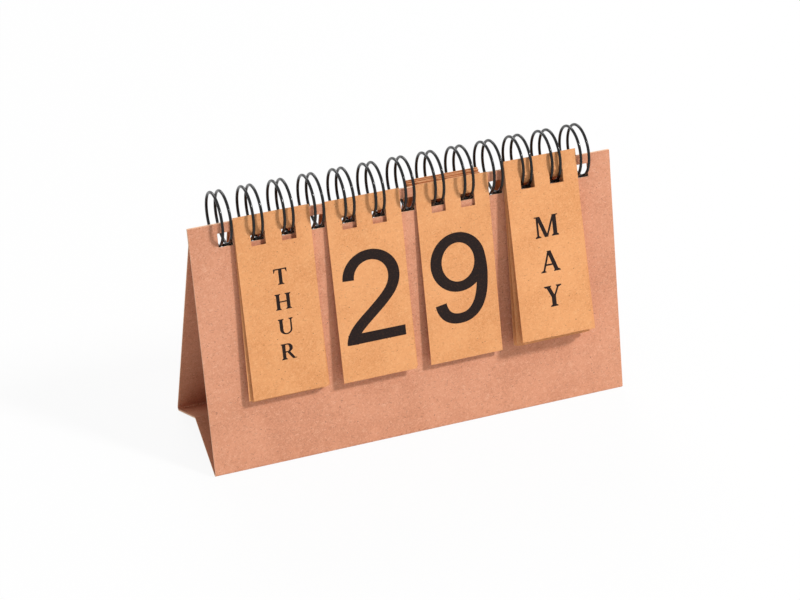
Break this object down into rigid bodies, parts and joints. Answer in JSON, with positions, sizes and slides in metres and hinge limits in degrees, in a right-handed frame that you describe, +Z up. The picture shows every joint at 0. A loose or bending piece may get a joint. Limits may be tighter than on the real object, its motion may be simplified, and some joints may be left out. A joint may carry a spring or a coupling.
{
  "type": "perpetual flip calendar",
  "caption": "Folded kraft board easel with a twin-loop wire along its top edge and hanging flip cards that show weekday, day of the month and month.",
  "frame": {"origin": "on the table, in the middle of the easel's base, half-way along its width", "axes": "+X along the front panel to the right of a reader, +Y to the back, +Z up"},
  "size_m": [0.18, 0.0555, 0.1124],
  "materials": {
    "kraft_board": "matte",
    "kraft_card": "matte",
    "black_wire": "gloss"
  },
  "bodies": {
    "easel": {"stand": "kraft_board", "wire": "black_wire", "card_mon": "kraft_card", "card_tue": "kraft_card", "card_fri": "kraft_card", "card_sat": "kraft_card", "card_sun": "kraft_card", "card_tens_0": "kraft_card", "card_tens_3": "kraft_card", "card_units_0": "kraft_card", "card_units_1": "kraft_card", "card_units_2": "kraft_card", "card_units_3": "kraft_card", "card_units_4": "kraft_card", "card_units_5": "kraft_card", "card_units_6": "kraft_card", "card_units_7": "kraft_card", "card_jan": "kraft_card", "card_feb": "kraft_card", "card_mar": "kraft_card", "card_jun": "kraft_card", "card_jul": "kraft_card", "card_aug": "kraft_card", "card_sep": "kraft_card", "card_oct": "kraft_card", "card_nov": "kraft_card", "card_dec": "kraft_card"},
    "thu_card": {"card_thu": "kraft_card"},
    "tens_2_card": {"card_tens_2": "kraft_card"},
    "units_9_card": {"card_units_9": "kraft_card"},
    "may_card": {"card_may": "kraft_card"},
    "wed_card": {"card_wed": "kraft_card"},
    "tens_1_card": {"card_tens_1": "kraft_card"},
    "units_8_card": {"card_units_8": "kraft_card"},
    "apr_card": {"card_apr": "kraft_card"}
  },
  "joints": [
    {"name": "thu_flip", "type": "hinge", "parent": "easel", "child": "thu_card", "pos_m": [0, 0.0035, 0.10117], "axis": [-1, 0, 0], "range_deg": [0, 234]},
    {"name": "tens_2_flip", "type": "hinge", "parent": "easel", "child": "tens_2_card", "pos_m": [0, 0.0035, 0.10117], "axis": [-1, 0, 0], "range_deg": [0, 243]},
    {"name": "units_9_flip", "type": "hinge", "parent": "easel", "child": "units_9_card", "pos_m": [0, 0.0035, 0.10117], "axis": [-1, 0, 0], "range_deg": [0, 201]},
    {"name": "may_flip", "type": "hinge", "parent": "easel", "child": "may_card", "pos_m": [0, 0.0035, 0.10117], "axis": [-1, 0, 0], "range_deg": [0, 213]},
    {"name": "wed_flip", "type": "hinge", "parent": "easel", "child": "wed_card", "pos_m": [0, 0.0035, 0.10117], "axis": [1, 0, 0], "range_deg": [0, 234]},
    {"name": "tens_1_flip", "type": "hinge", "parent": "easel", "child": "tens_1_card", "pos_m": [0, 0.0035, 0.10117], "axis": [1, 0, 0], "range_deg": [0, 243]},
    {"name": "units_8_flip", "type": "hinge", "parent": "easel", "child": "units_8_card", "pos_m": [0, 0.0035, 0.10117], "axis": [1, 0, 0], "range_deg": [0, 195]},
    {"name": "apr_flip", "type": "hinge", "parent": "easel", "child": "apr_card", "pos_m": [0, 0.0035, 0.10117], "axis": [1, 0, 0], "range_deg": [0, 213]}
  ]
}
